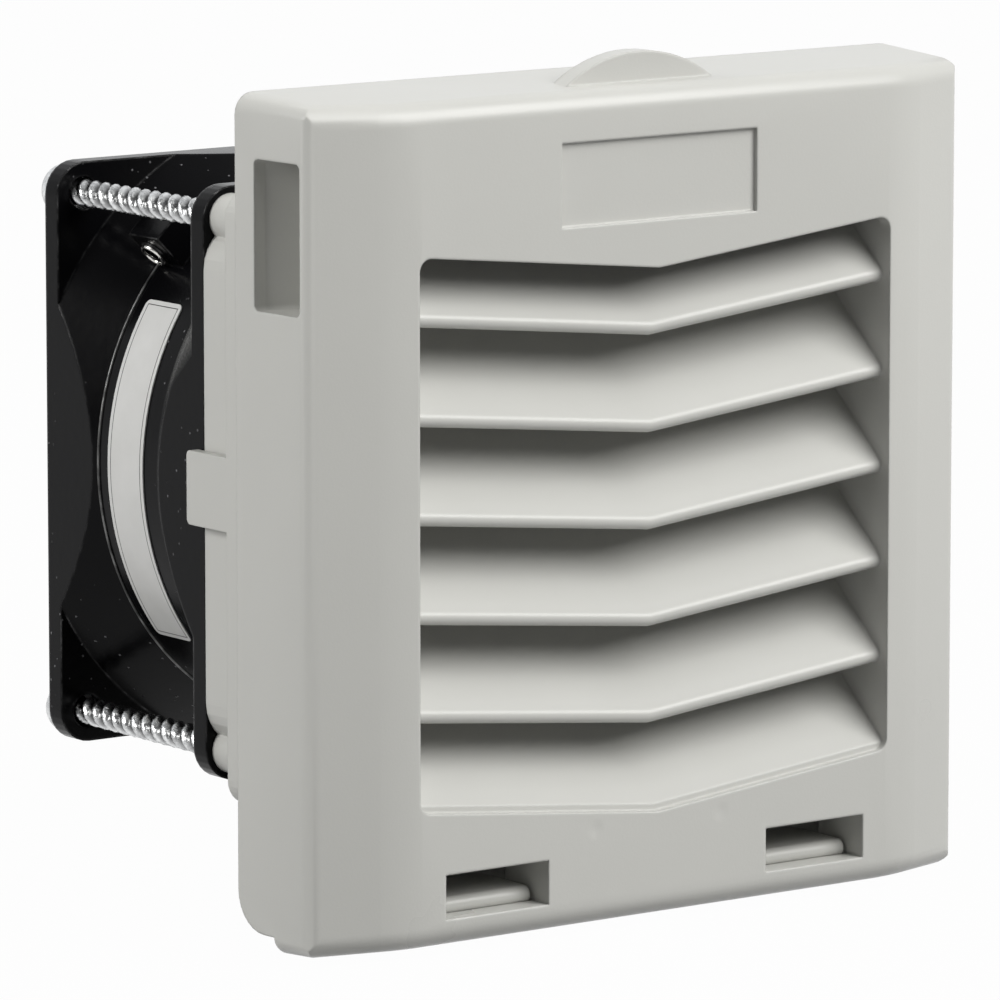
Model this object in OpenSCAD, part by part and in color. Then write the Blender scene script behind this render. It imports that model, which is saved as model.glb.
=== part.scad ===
// Cabinet filter fan: a louvred cover that tilts on a base frame, a filter mat behind it,
// and an axial fan screwed to the base frame's duct inside the cabinet.
// X runs to the right seen from the front, Y into the cabinet and Z up.
// The origin is on the fan's axis, in the panel's outer face.

/* [Cover] */
// Depth of the cover from the panel to its flat front
cover_d = 19; // [18:0.5:24]
// Wall of the cover
cover_wall = 2.2; // [1.6:0.1:2.8]
// How far each side leans in over the cover's depth
cover_draft = 1; // [0.4:0.1:1.6]
// Width of the bevelled strip on each side of the front
facet_w = 12; // [10:0.5:14]
// How far the bevelled strip falls back
facet_d = 4; // [2:0.25:5]
// Rounding of the front's edges
edge_r = 3; // [2.5:0.25:4]
// Rounding of the cover's four corners
corner_r = 2.8; // [2.4:0.1:3.4]
// Gap between the cover's rear rim and the panel
rim_gap = 0.4; // [0.3:0.1:1]

/* [Louvres] */
// Width of the plain margin on each side of the louvres
louvre_margin = 15.8; // [15:0.1:19]
// Height of the plain face above the louvres, at their ends
louvre_head = 20.7; // [19:0.1:23]
// Height of the plain face below the louvres, at their ends
louvre_foot = 19; // [16:0.1:21]
// How far the louvres dip at the middle
louvre_dip = 4.1; // [0:0.1:6]
// Drop from the opening's top edge to the first louvre's nose
first_drop = 8.1; // [7:0.1:9]
// Height of the last louvre's nose above the bottom lip
last_rise = 12.6; // [11:0.1:13]
// Number of free louvres
louvre_count = 5; // [3:1:6]
// Thickness of a louvre
louvre_t = 2.1; // [1.6:0.1:2.6]
// Slope of a louvre
louvre_slope = 42; // [35:1:50]
// How far a louvre's nose sits behind the flat front
louvre_set = 1.7; // [0.5:0.1:3]
// Depth of the louvres from the flat front
louvre_depth = 14.2; // [12:0.1:14.4]

/* [Cover details] */
// Width of the flat field above the louvres
field_w = 32; // [24:0.5:40]
// Height of that field
field_h = 11; // [8:0.5:12]
// Depth of that field
field_d = 0.6; // [0.4:0.1:1.2]
// Depth of that field's middle below the cover's top
field_drop = 13; // [12:0.25:14]
// Length of the thumb tab on top
tab_w = 24; // [16:0.5:30]
// Height of the thumb tab
tab_h = 4; // [3:0.25:6]
// Thickness of the thumb tab
tab_t = 3; // [2:0.25:4]
// Distance of the thumb tab behind the flat front
tab_set = 4.6; // [4.5:0.1:6]
// Height of the finger pocket in each side
pocket_h = 19.6; // [12:0.2:22]
// Width of the finger pocket, front to back
pocket_w = 9.2; // [6:0.1:9.6]
// Depth of the finger pocket
pocket_d = 1.6; // [1:0.1:2.4]
// Depth of the finger pocket's middle below the cover's top
pocket_drop = 18; // [16:0.5:26]

/* [Hinge] */
// Width of each hinge window in the cover's front
window_w = 16.6; // [14:0.2:18]
// Height of each hinge window
window_h = 5.9; // [5:0.1:6.5]
// Distance of a window's middle from the cover's side
window_margin = 28.15; // [26:0.05:30]
// Distance of the hinge axis behind the flat front
hinge_set = 4.5; // [4:0.1:5]
// Radius of the bead at the end of each hinge tongue
bead_r = 1.15; // [1:0.05:1.3]
// Clearance of the bead in its groove
bead_clear = 0.06; // [0.02:0.01:0.1]
// Gap between a tongue's end and its window's side wall
tongue_gap = 0.6; // [0.4:0.1:1]
// Wall round each window
window_wall = 1.2; // [0.8:0.1:1.6]

/* [Base] */
// Step from the neck out to the collar that fills the panel's cut-out
collar_step = 3.8; // [3:0.1:5]
// Length of the collar behind the panel's outer face
collar_len = 9; // [8:0.5:11]
// Thickness of the base's flange
flange_t = 2.5; // [2:0.1:2.7]
// How far the flange laps over the panel, on each side of the collar
flange_lap = 3.7; // [3.4:0.1:5]
// How far the flange laps over the panel above the collar
top_lap = 6.7; // [5:0.1:8]
// How far the flange laps over the panel below the collar
bottom_lap = 3.9; // [3.6:0.1:5]
// Gap between the flange and the cover's side walls
flange_clear = 3.1; // [2.8:0.1:3.4]
// Gap between the flange and the cover's top wall
top_clear = 1.6; // [1.2:0.1:2.4]
// Wall of the base
base_wall = 2; // [1.6:0.1:2.4]
// Step from the duct out to the neck before it
neck_step = 1.7; // [1:0.1:2]
// Distance of the neck's rear edge from the panel's outer face
neck_end = 20.5; // [16:0.5:22]
// Distance of the duct's rear face from the panel's outer face
duct_end = 28; // [26:0.5:32]
// Radius of each screw boss
boss_r = 3.3; // [3:0.1:3.4]
// Length of each screw boss
boss_len = 13; // [12:0.5:15]
// Height of the locating tab on each side of the duct
clip_h = 10; // [6:0.5:14]
// How far the locating tabs reach past the duct, beside the fan
clip_reach = 1.8; // [1:0.1:2.4]
// Gap between a locating tab and the fan
clip_clear = 0.3; // [0.2:0.05:0.5]
// Thickest panel that the catches hold
panel_t = 2; // [1:0.1:3]
// Width of each panel catch
catch_w = 12; // [8:0.5:16]
// How far a panel catch stands out of the collar
catch_h = 1.6; // [1:0.1:2]

/* [Filter] */
// Thickness of the panel gasket
gasket_t = 2; // [1.5:0.1:2.5]
// Width of the panel gasket's strip
gasket_w = 3; // [2:0.1:3.2]
// Thickness of the filter mat
mat_t = 8; // [6:0.25:8.5]
// Gap round the filter mat
mat_clear = 0.3; // [0.2:0.05:0.6]
// Thickness of the grille behind the mat
grille_t = 2; // [1.5:0.1:2.5]
// Width of a grille bar
grille_bar = 1.8; // [1.4:0.1:2.4]
// Number of openings along each side of the grille
grille_n = 6; // [4:1:8]

/* [Fan] */
// Side of the fan's square frame
fan_size = 80; // [79:0.5:82]
// Depth of the fan
fan_depth = 38; // [36:0.5:42]
// Distance of a screw hole's middle from the frame's edges
hole_edge = 4.25; // [4:0.05:4.5]
// Thickness of each fan flange
fan_flange_t = 3; // [2.4:0.1:3.4]
// Rounding of the fan flange's corners
fan_corner_r = 4.5; // [3:0.25:5]
// How far the barrel's waist stays inside the frame's sides
waist_gap = 0.5; // [0.3:0.1:1.5]
// Wall of the barrel
barrel_wall = 1.7; // [1.4:0.1:2]
// How far the barrel flares out from its waist to a flange
flare = 5.5; // [4:0.1:6.5]
// Length of the barrel's straight waist
waist_len = 14.2; // [12:0.2:16]
// Wall between the fan's mouth and the frame's sides
mouth_wall = 1.2; // [0.8:0.1:1.6]
// Number of struts that carry the motor
strut_count = 4; // [3:1:5]
// Width of a strut
strut_w = 5; // [3:0.5:6]
// Radius of the motor's base plate
motor_base_r = 19.5; // [18:0.25:21]
// Thickness of the motor's base plate
motor_base_t = 3; // [2.5:0.1:4]

/* [Screws] */
// Outer radius of the screws' thread
screw_r = 1.95; // [1.7:0.05:2.05]
// Gap round a screw in the fan's holes
screw_clear = 0.3; // [0.2:0.05:0.5]
// Gap round a screw in its boss
boss_clear = 0.05; // [0.02:0.01:0.1]
// How deep a screw goes into its boss
screw_grip = 10; // [8:0.5:10.5]
// Radius of a screw's head
head_r = 3.8; // [3.2:0.1:4]
// Height of a screw's head
head_h = 2.6; // [1.8:0.1:3]

/* [Rotor] */
// Gap between the blade tips and the barrel
tip_gap = 0.8; // [0.5:0.05:1.2]
// Number of blades
blade_count = 5; // [3:1:7]
// Thickness of a blade at its root
blade_t = 1.8; // [1.2:0.1:2.4]
// Blade angle at the hub
blade_root_angle = 42; // [35:1:48]
// Blade angle at the tip
blade_tip_angle = 27; // [20:1:34]
// Length of a blade along its chord
blade_chord = 26; // [20:0.5:27]
// Outer radius of the impeller's hub
hub_r = 20; // [19.5:0.1:21]
// Wall of the impeller's hub
hub_wall = 1.3; // [1:0.1:1.6]
// Wall of the rotor cup
cup_wall = 1.4; // [1:0.1:1.6]
// Length of the rotor cup
cup_len = 24; // [22:0.5:25]
// Gap between the rotor cup's open end and the motor's base plate
cup_gap = 3; // [2:0.25:4]
// Thickness of the rotor's cage ring
cage_t = 1.8; // [1.4:0.1:2.2]

/* [Motor] */
// Radius of the shaft
shaft_r = 2; // [1.5:0.1:2.2]
// Clearance of the shaft in its bearings
shaft_clear = 0.03; // [0.02:0.01:0.08]
// Outer radius of a bearing
bearing_r = 4.5; // [4.2:0.1:5]
// Width of a bearing
bearing_w = 4; // [3:0.25:4]
// Wall of the bearing tube
tube_wall = 1.5; // [1.2:0.1:2]
// Air gap between stator and rotor
air_gap = 0.4; // [0.3:0.05:0.6]
// Length of the stator's core
core_len = 11; // [8:0.5:12]
// How far a coil stands out of the core's end
coil_out = 2.6; // [1.5:0.1:2.8]
// Thickness of the retaining clip and its washer
clip_t = 0.6; // [0.4:0.05:0.8]

/* [Fan details] */
// Width of the blank rating strip on the barrel
strip_w = 8.4; // [6:0.2:9]
// Angle that the rating strip spans above the fan's axis
strip_up = 34; // [25:0.5:40]
// Angle that the rating strip spans below the fan's axis
strip_down = 37; // [25:0.5:40]
// Thickness of the rating strip
strip_t = 0.2; // [0.15:0.05:0.3]
// Length of the earth lug along the fan's axis
lug_len = 7; // [6:0.1:8]
// Width of the earth lug
lug_w = 6; // [4:0.1:7]
// How far the earth lug stands out of the barrel
lug_h = 5.8; // [5:0.1:6.5]
// Radius of the hole in the earth lug
lug_hole_r = 1.4; // [1.2:0.05:1.6]
// Width of the terminal block
pad_w = 9; // [7:0.25:10]
// How far the terminal block stands out of the barrel
pad_h = 3.4; // [3:0.1:4]
// Width of a terminal tab
terminal_w = 2.8; // [2.4:0.1:3.2]
// Thickness of a terminal tab
terminal_t = 0.5; // [0.4:0.05:0.8]
// Length of a terminal tab outside its block
terminal_len = 4.6; // [3:0.1:5]

/* [Hidden] */
$fn = 64;
e = 0.01;

// Cover
duct_x = fan_size / 2;
neck_x = duct_x + neck_step;
collar_x = neck_x + collar_step;
flange_x = collar_x + flange_lap;
flange_top = collar_x + top_lap;
flange_bottom = -collar_x - bottom_lap;
side_x = flange_x + flange_clear + cover_wall;
top_z = flange_top + top_clear + cover_wall;
cover_w = 2 * side_x;
cover_h = 2 * top_z;
front_y = -cover_d;
rim_y = -rim_gap;
facet_x = side_x - cover_draft - facet_w;
margin_turn = atan(facet_d / facet_w);
bend_w = 3;
front_x = side_x - cover_draft;
front_z = top_z - cover_draft;
cover_slope = cover_draft / (rim_y - front_y);
louvre_x = side_x - louvre_margin;
louvre_top = top_z - louvre_head;
louvre_bottom = top_z - louvre_foot;
dip_angle = atan(louvre_dip / louvre_x);
nose_r = louvre_t / 2;
nose_y = front_y + louvre_set + nose_r;
louvre_end_y = front_y + louvre_depth;
first_nose_z = louvre_top - first_drop;
louvre_pitch = (first_nose_z + louvre_bottom - last_rise) / (louvre_count - 1);
louvre_wall = 1.6;
field_z = top_z - field_drop;
pocket_z = top_z - pocket_drop;
pocket_r = 0.8;

// Hinge
hinge_y = front_y + hinge_set;
hinge_z = flange_bottom - bead_r;
sill_z = hinge_z - bead_r + 0.3;
window_x = side_x - window_margin;
sill_end_y = hinge_y + 0.6;
tongue_w = window_w - 2 * tongue_gap;
cut_y = front_y + 11.2;
cut_z = -top_z + cover_wall + 0.6;
cut_r = 5.5;
box_end_y = front_y + 9.6;
skirt_x = window_w / 2 + 5;
skirt_z = hinge_z - 0.65;

// Base
flange_y = -gasket_t - flange_t;
collar_in = collar_x - base_wall;
neck_in = neck_x - base_wall;
neck_top = duct_x + 0.3;
neck_r = 3.4;
boss_x = duct_x - hole_edge;
duct_notch = boss_x - 0.55;
duct_corner = 6;
step_y = collar_len - base_wall;
grille_y = step_y - grille_t;
mat_y = grille_y - mat_t;
tray_r = 1.4;
finger_w = 9;
finger_x = 24;
finger_gap = 0.4;
finger_t = 1.6;

// Fan
fan_front = duct_end;
fan_rear = fan_front + fan_depth;
waist_y = (fan_front + fan_rear) / 2;
barrel_r = duct_x - waist_gap;
barrel_in = barrel_r - barrel_wall;
flare_r = barrel_r + flare;
mouth_r = duct_x - mouth_wall;
screw_hole_r = screw_r + screw_clear;
strut_t = 4;

// Motor, measured back to front from the fan's rear face
base_y = fan_rear - motor_base_t;
cup_rear = base_y - cup_gap;
cup_front = cup_rear - cup_len;
cup_r = hub_r - hub_wall;
cup_in = cup_r - cup_wall;
cage_in = cup_in - cage_t;
core_r = cage_in - air_gap;
tube_r = bearing_r + tube_wall;
core_mid = cup_rear - cup_len / 2 + 1.5;
core_y = core_mid - core_len / 2;
rear_bearing_y = base_y - bearing_w - 3;
front_bearing_y = core_y - coil_out - 0.6;
tube_front = front_bearing_y;
cup_floor = 2;
boss_end = front_bearing_y - clip_t - 0.3;
clip_y = rear_bearing_y + bearing_w + 0.3;
shaft_end = clip_y + clip_t + 0.9;
tip_r = barrel_in - tip_gap;
pad_y = waist_y - pad_w / 2;
lug_y = waist_y + 1.6;
strip_y = waist_y + 0.5 - strip_w / 2;

shell_grey = [0.74, 0.74, 0.72];
fan_black = [0.09, 0.09, 0.10];
zinc = [0.75, 0.77, 0.78];
steel = [0.62, 0.63, 0.65];

function unit(v) = v / norm(v);

// Points of a fillet of radius r at corner b, between the corners a and c
function fillet(a, b, c, r, n) =
    let (u = unit(a - b), v = unit(c - b), half = acos(u * v) / 2,
        middle = b + unit(u + v) * r / sin(half),
        p = b + u * r / tan(half) - middle, q = b + v * r / tan(half) - middle,
        start = atan2(p[1], p[0]), sweep = (atan2(q[1], q[0]) - start + 540) % 360 - 180)
    [for (i = [0:n]) middle + r * [cos(start + sweep * i / n), sin(start + sweep * i / n)]];

// The corners pts, each rounded by its own radius in rs
function rounded(pts, rs, n = 7) =
    let (k = len(pts))
    [for (i = [0:k - 1])
        each rs[i] == 0 ? [pts[i]] : fillet(pts[(i + k - 1) % k], pts[i], pts[(i + 1) % k], rs[i], n)];

// A rectangle with rounded corners, from its half sizes
module round_rect(x, z, r) {
    polygon(rounded([[-x, -z], [x, -z], [x, z], [-x, z]], [r, r, r, r]));
}

// Extrudes an outline in X and Z along Y
module along_y(y0, y1) {
    translate([0, y1, 0]) rotate([90, 0, 0]) linear_extrude(y1 - y0) children();
}

// Extrudes an outline in Y and Z along X
module along_x(x0, x1) {
    translate([x0, 0, 0]) rotate([90, 0, 90]) linear_extrude(x1 - x0) children();
}

// Extrudes an outline in X and Y along Z
module along_z(z0, z1) {
    translate([0, 0, z0]) linear_extrude(z1 - z0) children();
}

// Turns a profile of radius and Y round the fan's axis
module round_y() {
    rotate([-90, 0, 0]) rotate_extrude($fn = 96) children();
}

module tube_y(r_out, r_in, y0, y1) {
    round_y() translate([r_in, y0]) square([r_out - r_in, y1 - y0]);
}

module both_sides() {
    children();
    mirror([1, 0, 0]) children();
}

module at_holes() {
    for (x = [-boss_x, boss_x], z = [-boss_x, boss_x]) translate([x, 0, z]) children();
}

// What a rounding of radius r takes off the corner at the origin, between the directions a and c
module round_off(a, c, r) {
    arc = fillet(a, [0, 0], c, r, 7);
    first = arc[0] + 0.6 * unit(arc[0] - arc[1]);
    last = arc[7] + 0.6 * unit(arc[7] - arc[6]);
    polygon(concat([first], arc, [last, [-2, last[1]], [-2, 2], [first[0], 2]]));
}

// Rounds the cover's top edge along a front that is turned in plan and starts at p
module front_cut(p, turn) {
    rise = cover_slope * cos(turn);
    translate([p[0], p[1], front_z]) rotate([0, -atan(cover_slope * sin(turn)), turn])
        along_x(-cover_d, cover_d) round_off([9, 9 * rise], [0, -9], edge_r);
}

// Rounds the edge between the cover's top and one drafted side
module side_cut() {
    translate([-front_x, front_y, front_z])
        rotate([atan(cover_slope * cos(atan(cover_slope))), 0, atan(cover_slope)])
        along_y(-cover_d, 2 * cover_d) round_off([9, 0], [0, -9], corner_r);
}

// The cover's front in plan, from its middle over two bends to one side
function front_path(x1, y1) =
    let (p0 = [facet_x - bend_w, y1],
        p1 = p0 + bend_w * [cos(margin_turn / 3), sin(margin_turn / 3)],
        p2 = p1 + bend_w * [cos(margin_turn * 2 / 3), sin(margin_turn * 2 / 3)])
    [p0, p1, p2, [x1, y1 + facet_d]];

module corner_cuts() {
    path = front_path(front_x, front_y);
    front_cut(path[0], margin_turn / 3);
    front_cut(path[1], margin_turn * 2 / 3);
    front_cut(path[2], atan((path[3][1] - path[2][1]) / (path[3][0] - path[2][0])));
    mirror([1, 0, 0]) side_cut();
}

// The cover's outside, or its hollow when every wall is moved in
module cover_block(inset, rear) {
    x0 = side_x - inset;
    x1 = side_x - cover_draft - inset;
    z0 = top_z - inset;
    z1 = top_z - cover_draft - inset;
    y1 = front_y + inset;
    r = max(edge_r - inset, 0.6);
    half = concat(front_path(x1, y1), [[x0, rear]]);
    plan = concat([for (i = [4:-1:0]) [-half[i][0], half[i][1]]], half);
    side = [[rear, z0], [y1, z1], [y1, -z1], [rear, -z0]];
    intersection() {
        along_z(-cover_h, cover_h) polygon(rounded(plan, [0, 0.8 * r, 0, 0, 0, 0, 0, 0, 0.8 * r, 0]));
        along_x(-cover_w, cover_w) polygon(rounded(side, [0, r, r, 0]));
    }
}

// The louvred opening, with its top edge and bottom lip dipping at the middle
module opening_outline() {
    x = louvre_x;
    polygon(rounded([[-x, louvre_top], [0, louvre_top - louvre_dip], [x, louvre_top],
        [x, -louvre_bottom], [0, -louvre_bottom - louvre_dip], [-x, -louvre_bottom]],
        [1.7, 0, 1.7, 1.7, 0, 1.7]));
}

// One louvre profile: a sloping web behind a round nose
module louvre_profile() {
    run = (louvre_end_y - nose_y) / cos(louvre_slope);
    circle(r = nose_r, $fn = 32);
    intersection() {
        rotate(louvre_slope) translate([0, -nose_r]) square([run * 1.3, louvre_t]);
        translate([-nose_r, -cover_h]) square([louvre_end_y - nose_y + nose_r, 2 * cover_h]);
    }
}

// Carries a profile across the opening, dipping from both ends to the middle
module dipping(end_z) {
    reach = louvre_x + louvre_wall / 2;
    both_sides() intersection() {
        translate([0, nose_y, end_z - louvre_dip]) rotate([0, -dip_angle, 0])
            along_x(-4, reach * 1.05) children();
        translate([0, front_y - 1, -cover_h]) cube([reach, cover_d, 2 * cover_h]);
    }
}

module louvres() {
    for (i = [0:louvre_count - 1]) dipping(first_nose_z - i * louvre_pitch) louvre_profile();
    lip_rise = (nose_y - front_y) * tan(louvre_slope) - nose_r / cos(louvre_slope);
    dipping(-louvre_bottom + lip_rise) intersection() {
        rotate(louvre_slope) translate([-louvre_depth, -nose_r]) square([3 * louvre_depth, louvre_t]);
        translate([front_y - nose_y + 1, -cover_h])
            square([louvre_end_y - front_y - 1, 2 * cover_h]);
    }
    both_sides() translate([louvre_x, front_y + 1, -louvre_bottom - louvre_t])
        cube([louvre_wall, louvre_depth - 1, louvre_bottom + louvre_top + louvre_t + 2]);
}

// Walls of the pocket behind a hinge window, and the sill that the bead rests on
module window_box() {
    x = window_w / 2 + window_wall;
    z = sill_z + window_h + window_wall;
    translate([window_x - x, front_y + 1, -top_z + cover_draft])
        cube([2 * x, box_end_y - front_y - 1, z + top_z - cover_draft]);
}

module window_cut() {
    translate([window_x - window_w / 2, front_y - 1, sill_z]) cube([window_w, cover_d, window_h]);
    along_x(window_x - window_w / 2, window_x + window_w / 2)
        translate([hinge_y, hinge_z]) circle(r = bead_r + bead_clear, $fn = 48);
    translate([window_x - window_w / 2, sill_end_y, -cover_h])
        cube([window_w, -sill_end_y, cover_h + hinge_z]);
}

// The lower rear corner is cut back so that it swings clear of the panel
module lower_rear_cut() {
    z = -top_z + 8.4;
    along_x(-cover_w, cover_w)
        polygon(concat([[rim_y + 1, -cover_h], [cut_y, -cover_h]],
            rounded([[cut_y, cut_z], [rim_y, cut_z], [rim_y, z + e], [rim_y + 1, z + e]],
                [0, cut_r - 0.2, 0, 0])));
}

module thumb_tab() {
    r = (pow(tab_w / 2, 2) + tab_h * tab_h) / (2 * tab_h);
    z = top_z - cover_draft * (cover_d - tab_set) / cover_d;
    along_y(front_y + tab_set, front_y + tab_set + tab_t) intersection() {
        translate([0, z + tab_h - r]) circle(r = r, $fn = 128);
        translate([-tab_w, z - cover_wall / 2]) square([2 * tab_w, 2 * tab_h + cover_wall]);
    }
}

// The floor of a finger pocket, moved in from the side wall
module pocket(grow, x0, x1) {
    y = front_y + facet_d + 1.5 + pocket_w / 2;
    along_x(x0, x1) translate([y, pocket_z])
        round_rect(pocket_w / 2 + grow, pocket_h / 2 + grow, pocket_r + grow);
}

module louvre_cover() {
    floor_x = side_x - cover_draft / 2 - pocket_d;
    color(shell_grey) difference() {
        union() {
            difference() {
                cover_block(0, rim_y);
                difference() {
                    cover_block(cover_wall, rim_y + 1);
                    both_sides() pocket(1.2, floor_x - 1.4, cover_w);
                    both_sides() window_box();
                }
                along_y(front_y - 1, front_y + cover_wall + 2) opening_outline();
                both_sides() corner_cuts();
                mirror([0, 0, 1]) both_sides() corner_cuts();
            }
            louvres();
            thumb_tab();
        }
        both_sides() pocket(0, floor_x, cover_w);
        both_sides() window_cut();
        lower_rear_cut();
        translate([-field_w / 2, front_y - 1, field_z - field_h / 2])
            cube([field_w, 1 + field_d, field_h]);
    }
}

// The duct's outline: two crossed rectangles, with room for a round boss in each notch
module duct_outline(inset) {
    r = duct_corner - inset;
    round_rect(duct_x - inset, duct_notch - inset, r);
    round_rect(duct_notch - inset, duct_x - inset, r);
}

// The neck's outline, or its hollow when every wall is moved in
module neck_outline(inset) {
    middle = (neck_top - neck_x) / 2;
    translate([0, middle])
        round_rect(neck_x - inset, (neck_top + neck_x) / 2 - inset, neck_r - inset);
}

// A tongue with a bead on its end, and the flange's skirt that it stands on
module hinge_tongue() {
    along_x(window_x - tongue_w / 2, window_x + tongue_w / 2) {
        translate([hinge_y, hinge_z]) circle(r = bead_r, $fn = 48);
        translate([hinge_y, hinge_z]) square([flange_y + 1 - hinge_y, bead_r]);
    }
    along_x(window_x - skirt_x, window_x + skirt_x) translate([flange_y, skirt_z])
        square([flange_t, flange_bottom + 1 - skirt_z]);
}

// A finger under the cover's top wall holds the cover shut
module top_finger() {
    y0 = front_y + cover_wall + 6;
    z = top_z - cover_wall - cover_draft * (y0 - rim_y) / (front_y - rim_y) - finger_gap;
    translate([finger_x - finger_w / 2, y0, z - finger_t])
        cube([finger_w, flange_y - y0 + e, finger_t]);
    translate([finger_x - finger_w / 2, flange_y - 2, flange_top - 3])
        cube([finger_w, 2 + e, z - flange_top + 3]);
}

// A wedge that snaps behind the panel
module panel_catch() {
    along_x(finger_x - catch_w / 2, finger_x + catch_w / 2)
        polygon([[panel_t + 0.3, collar_x - e], [panel_t + 0.3, collar_x + catch_h],
            [panel_t + 1.1, collar_x + catch_h], [collar_len - 0.6, collar_x - e]]);
}

module locating_tab() {
    x = duct_x + clip_clear;
    end = fan_front + clip_reach;
    along_x(x, neck_x) polygon(rounded([[neck_end - e, -clip_h / 2], [end, -clip_h / 2],
        [end, clip_h / 2], [neck_end - e, clip_h / 2]], [0, 0.8, 0.8, 0]));
}

module base_frame() {
    middle = (flange_top + flange_bottom) / 2;
    half = (flange_top - flange_bottom) / 2;
    color(shell_grey) difference() {
        union() {
            along_y(flange_y, -gasket_t) translate([0, middle]) round_rect(flange_x, half, 3);
            along_y(-gasket_t - e, collar_len) round_rect(collar_x, collar_x, 3);
            along_y(collar_len - e, neck_end) neck_outline(0);
            along_y(neck_end - e, duct_end) duct_outline(0);
            at_holes() rotate([90, 0, 0]) translate([0, 0, -duct_end])
                cylinder(r = boss_r, h = duct_end - neck_end + 1);
            both_sides() {
                hinge_tongue();
                top_finger();
                panel_catch();
                mirror([0, 0, 1]) panel_catch();
                locating_tab();
            }
        }
        along_y(flange_y - 1, step_y) round_rect(collar_in, collar_in, tray_r);
        difference() {
            along_y(step_y - 1, neck_end - base_wall) neck_outline(base_wall);
            at_holes() rotate([90, 0, 0]) translate([0, 0, -duct_end]) cylinder(r = boss_r, h = boss_len);
        }
        difference() {
            along_y(neck_end - base_wall - 1, duct_end + 1) duct_outline(base_wall);
            at_holes() rotate([90, 0, 0]) translate([0, 0, -duct_end]) cylinder(r = boss_r, h = boss_len);
        }
        at_holes() rotate([90, 0, 0]) translate([0, 0, -duct_end - 1])
            cylinder(r = screw_r + boss_clear, h = screw_grip + 2);
    }
}

module panel_gasket() {
    middle = (flange_top + flange_bottom) / 2;
    half = (flange_top - flange_bottom) / 2;
    inner = collar_x + flange_lap - gasket_w;
    color([0.16, 0.16, 0.17]) difference() {
        along_y(-gasket_t, 0) translate([0, middle]) round_rect(flange_x, half, 3);
        along_y(-gasket_t - 1, 1) round_rect(inner, inner, 2);
    }
}

module filter_mat() {
    x = collar_in - mat_clear;
    color([0.90, 0.90, 0.86]) along_y(mat_y, grille_y) round_rect(x, x, tray_r);
}

module filter_grille() {
    x = collar_in - mat_clear;
    cell = (2 * x - (grille_n + 1) * grille_bar) / grille_n;
    color(shell_grey) difference() {
        along_y(grille_y, step_y) round_rect(x, x, tray_r);
        along_y(grille_y - 1, step_y + 1)
            for (i = [0:grille_n - 1], j = [0:grille_n - 1])
                translate([i, j] * (cell + grille_bar) + [1, 1] * (grille_bar - x)) square(cell);
    }
}

module fan_plate(y0) {
    along_y(y0, y0 + fan_flange_t) round_rect(duct_x, duct_x, fan_corner_r);
}

module barrel_profile(r_waist, r_end) {
    polygon([[0, fan_front], [r_end, fan_front], [r_end, fan_front + fan_flange_t],
        [r_waist, waist_y - waist_len / 2], [r_waist, waist_y + waist_len / 2],
        [r_end, fan_rear - fan_flange_t], [r_end, fan_rear], [0, fan_rear]]);
}

// The earth lug's block, on the barrel in the upper left corner
module earth_lug() {
    rotate([0, -135, 0]) {
        translate([barrel_in + 0.4, lug_y, 2 - lug_w])
            cube([barrel_r - barrel_in - 0.4 + lug_h, lug_len, lug_w]);
        earth_hole(lug_hole_r + 0.6, 0, 2.4);
    }
}

module earth_hole(r, z0, z1) {
    translate([barrel_r + 2.3, lug_y + 4.2, z0]) cylinder(r = r, h = z1 - z0);
}

module strut(angle) {
    rotate([0, angle, 0]) translate([motor_base_r - 1, fan_rear - strut_t, -strut_w / 2])
        cube([mouth_r - motor_base_r + 2, strut_t, strut_w]);
}

module fan_frame() {
    color(fan_black) difference() {
        union() {
            intersection() {
                round_y() barrel_profile(barrel_r, flare_r);
                along_y(fan_front, fan_rear) round_rect(duct_x, duct_x, fan_corner_r);
            }
            fan_plate(fan_front);
            fan_plate(fan_rear - fan_flange_t);
            earth_lug();
        }
        difference() {
            round_y() {
                barrel_profile(barrel_in, mouth_r);
                translate([0, fan_front - 1]) square([mouth_r, 2]);
                translate([0, fan_rear - 1]) square([mouth_r, 2]);
            }
            tube_y(motor_base_r, 0, base_y, fan_rear);
            for (i = [0:strut_count - 1]) strut(45 + i * 360 / strut_count);
        }
        round_y() translate([0, base_y - e]) square([tube_r + 0.02, 1.6]);
        rotate([0, -135, 0]) earth_hole(lug_hole_r, -lug_w, lug_w);
        at_holes() rotate([90, 0, 0]) translate([0, 0, -fan_rear - 1])
            cylinder(r = screw_hole_r, h = fan_depth + 2);
    }
}

module fan_screw() {
    tip = fan_front - screw_grip;
    dome = [for (i = [0:8]) [head_r * cos(i * 10), fan_rear + head_h / 2 * (1 + sin(i * 10))]];
    round_y() polygon(concat([[0, tip], [0.9, tip], [screw_r, tip + 2], [screw_r, fan_rear],
        [head_r, fan_rear]], dome, [[0, fan_rear + head_h]]));
}

module fan_screws() {
    color(zinc) at_holes() fan_screw();
}

module rating_strip() {
    color([0.93, 0.93, 0.92]) rotate([-90, 0, 0]) rotate([0, 0, 180 - strip_down])
        rotate_extrude(angle = strip_up + strip_down, $fn = 96)
            translate([barrel_r, strip_y]) square([strip_t, strip_w]);
}

module terminal_block() {
    rotate([0, 45, 0]) color([0.85, 0.84, 0.78])
        translate([barrel_r + e, pad_y, -pad_w / 2]) cube([pad_h, pad_w, pad_w]);
}

module terminal_tabs() {
    color(zinc) rotate([0, 45, 0]) for (z = [-1, 1])
        translate([barrel_r + pad_h + e, waist_y - terminal_w / 2, z * pad_w * 0.4 - terminal_t / 2])
            cube([terminal_len, terminal_w, terminal_t]);
}

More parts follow.
